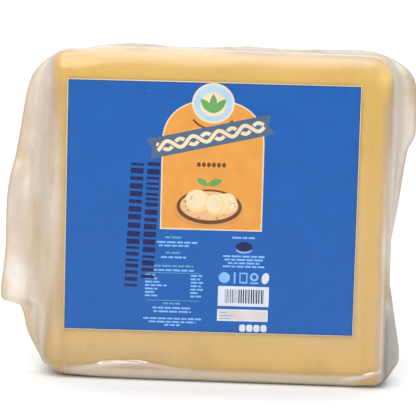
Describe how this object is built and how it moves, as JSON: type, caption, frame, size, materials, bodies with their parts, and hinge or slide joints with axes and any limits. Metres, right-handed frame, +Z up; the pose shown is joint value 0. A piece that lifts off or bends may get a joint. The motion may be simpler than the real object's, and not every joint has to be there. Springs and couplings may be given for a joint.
{
  "type": "vacuum-packed mozzarella block",
  "caption": "Pale yellow block of mozzarella cheese, vacuum-packed in clear film with flat side ears and a printed label on its front, standing on its long edge.",
  "frame": {"origin": "middle of the base, half way along the block and half way through its depth, on the surface it stands on", "axes": "+X to the right along the block's long base edge, seen from the label's side; -Y out of the label; +Z up"},
  "size_m": [0.1477, 0.0299, 0.1196],
  "materials": {
    "film_bag": "clear glossy film, vacuum-drawn onto pale yellow cheese; milky where the ears' films are pressed together",
    "label": "satin printed sheet, mid blue with plain coloured fields and a thin pale edge"
  },
  "bodies": {
    "root": {"film_bag": "film_bag", "label": "label"}
  },
  "joints": []
}
